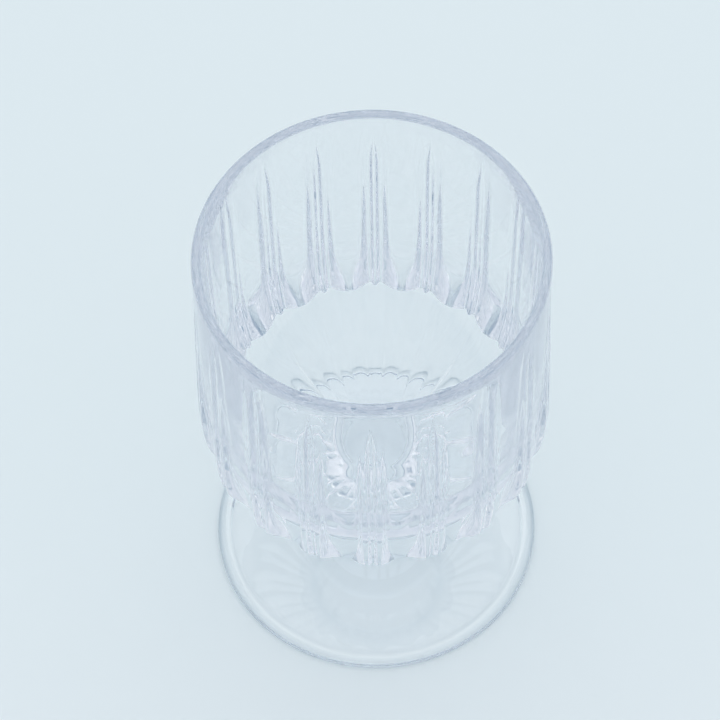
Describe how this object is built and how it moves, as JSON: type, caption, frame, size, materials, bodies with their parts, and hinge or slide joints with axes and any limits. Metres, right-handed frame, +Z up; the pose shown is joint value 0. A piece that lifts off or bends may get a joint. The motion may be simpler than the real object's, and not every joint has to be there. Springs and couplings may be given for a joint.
{
  "type": "footed drinking goblet",
  "caption": "Clear pressed goblet: straight fluted bowl with a plain rounded lip, short waisted stem and a round foot.",
  "frame": {"origin": "centre of the foot's underside, on the surface that the goblet stands on", "axes": "+Z up along the goblet's axis, +X and -Y each through the middle of a flute or rib"},
  "size_m": [0.079, 0.0796, 0.121],
  "materials": {
    "clear_glass": "clear, smooth and polished, with a faint cold blue tint"
  },
  "bodies": {
    "root": {"goblet": "clear_glass"}
  },
  "joints": []
}
